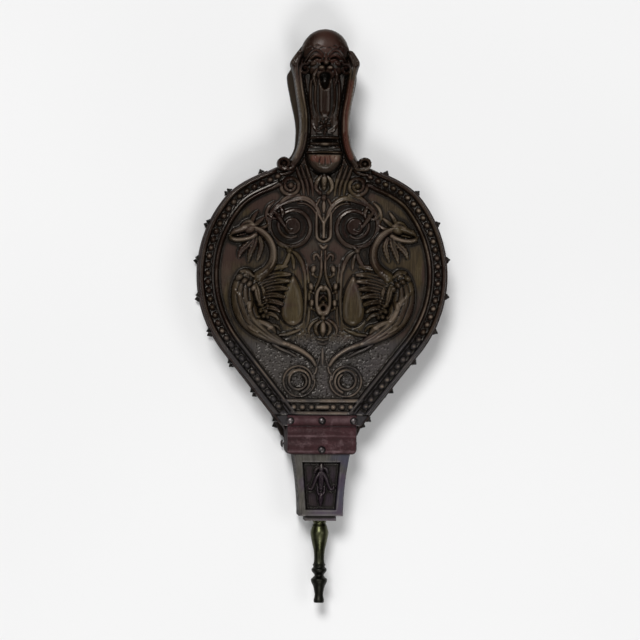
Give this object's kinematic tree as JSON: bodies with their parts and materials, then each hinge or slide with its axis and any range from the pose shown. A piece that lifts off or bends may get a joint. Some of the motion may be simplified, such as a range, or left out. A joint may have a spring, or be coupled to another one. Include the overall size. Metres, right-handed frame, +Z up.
{
  "type": "hand bellows",
  "caption": "Carved wooden hand bellows: pear-shaped boards with handles, folded leather gusset and hinge, clack valve, nozzle block and turned brass nozzle.",
  "frame": {"origin": "centre of the bounding box's bottom face: on the back board's flat underside, midway across and midway between handle top and nozzle tip", "axes": "+Z up out of the carved face, +Y towards the handles, +X to the right seen from the carved side with the handles up"},
  "size_m": [0.3094, 0.689, 0.08],
  "materials": {
    "walnut_front": "dark waxed walnut, carved",
    "walnut_back": "dark waxed walnut, plain",
    "walnut_block": "dark waxed walnut",
    "nozzle_brass": "darkened turned brass",
    "gusset_leather": "worn dark brown leather",
    "hinge_leather": "worn oxblood leather",
    "band_leather": "worn dark brown leather",
    "valve_leather": "soft tan leather",
    "valve_wood": "bare ash",
    "hoop_ash": "bare bent ash",
    "nail_iron": "dark iron, worn points",
    "domed_nail_iron": "dark iron, worn domes",
    "screw_steel": "aged steel",
    "tack_brass": "dull brass"
  },
  "bodies": {
    "back": {"back_band_left": "band_leather", "back_band_right": "band_leather", "back_board": "walnut_back", "back_nail_left_1": "nail_iron", "back_nail_left_2": "nail_iron", "back_nail_left_3": "nail_iron", "back_nail_left_4": "nail_iron", "back_nail_left_5": "nail_iron", "back_nail_left_6": "nail_iron", "back_nail_left_7": "nail_iron", "back_nail_left_8": "nail_iron", "back_nail_right_1": "nail_iron", "back_nail_right_2": "nail_iron", "back_nail_right_3": "nail_iron", "back_nail_right_4": "nail_iron", "back_nail_right_5": "nail_iron", "back_nail_right_6": "nail_iron", "back_nail_right_7": "nail_iron", "back_nail_right_8": "nail_iron", "block_screw_left": "screw_steel", "block_screw_right": "screw_steel", "brass_nozzle": "nozzle_brass", "gusset_leather": "gusset_leather", "hinge_saddle": "hinge_leather", "hinge_saddle_nail": "domed_nail_iron", "nozzle_block": "walnut_block", "saddle_flap_nail_left": "domed_nail_iron", "saddle_flap_nail_right": "domed_nail_iron", "valve_hinge_tab": "valve_leather", "valve_tack_left": "tack_brass", "valve_tack_right": "tack_brass"},
    "front": {"front_band_left": "band_leather", "front_band_right": "band_leather", "front_board": "walnut_front", "front_nail_left_1": "nail_iron", "front_nail_left_2": "nail_iron", "front_nail_left_3": "nail_iron", "front_nail_left_4": "nail_iron", "front_nail_left_5": "nail_iron", "front_nail_left_6": "nail_iron", "front_nail_left_7": "nail_iron", "front_nail_left_8": "nail_iron", "front_nail_left_9": "nail_iron", "front_nail_right_1": "nail_iron", "front_nail_right_2": "nail_iron", "front_nail_right_3": "nail_iron", "front_nail_right_4": "nail_iron", "front_nail_right_5": "nail_iron", "front_nail_right_6": "nail_iron", "front_nail_right_7": "nail_iron", "front_nail_right_8": "nail_iron", "front_nail_right_9": "nail_iron", "hinge_strip": "hinge_leather", "hinge_strip_nail_centre": "domed_nail_iron", "hinge_strip_nail_left": "domed_nail_iron", "hinge_strip_nail_right": "domed_nail_iron"},
    "hoop": {"gusset_hoop": "hoop_ash"},
    "valve": {"valve_flap": "valve_leather", "valve_flap_board": "valve_wood"}
  },
  "joints": [
    {"name": "front_board_hinge", "type": "hinge", "parent": "back", "child": "front", "pos_m": [0, -0.131, 0.0623], "axis": [1, 0, 0], "range_deg": [0, 14], "deforming": ["gusset_leather"]},
    {"name": "hoop_hinge", "type": "hinge", "parent": "back", "child": "hoop", "pos_m": [0, -0.131, 0.0623], "axis": [1, 0, 0], "range_deg": [0, 7]},
    {"name": "valve_hinge", "type": "hinge", "parent": "back", "child": "valve", "pos_m": [0, 0.07, 0.0183], "axis": [-1, 0, 0], "range_deg": [0, 30]}
  ],
  "couplings": [
    {"joint": "hoop_hinge", "follows": "front_board_hinge", "ratio": 0.5}
  ]
}
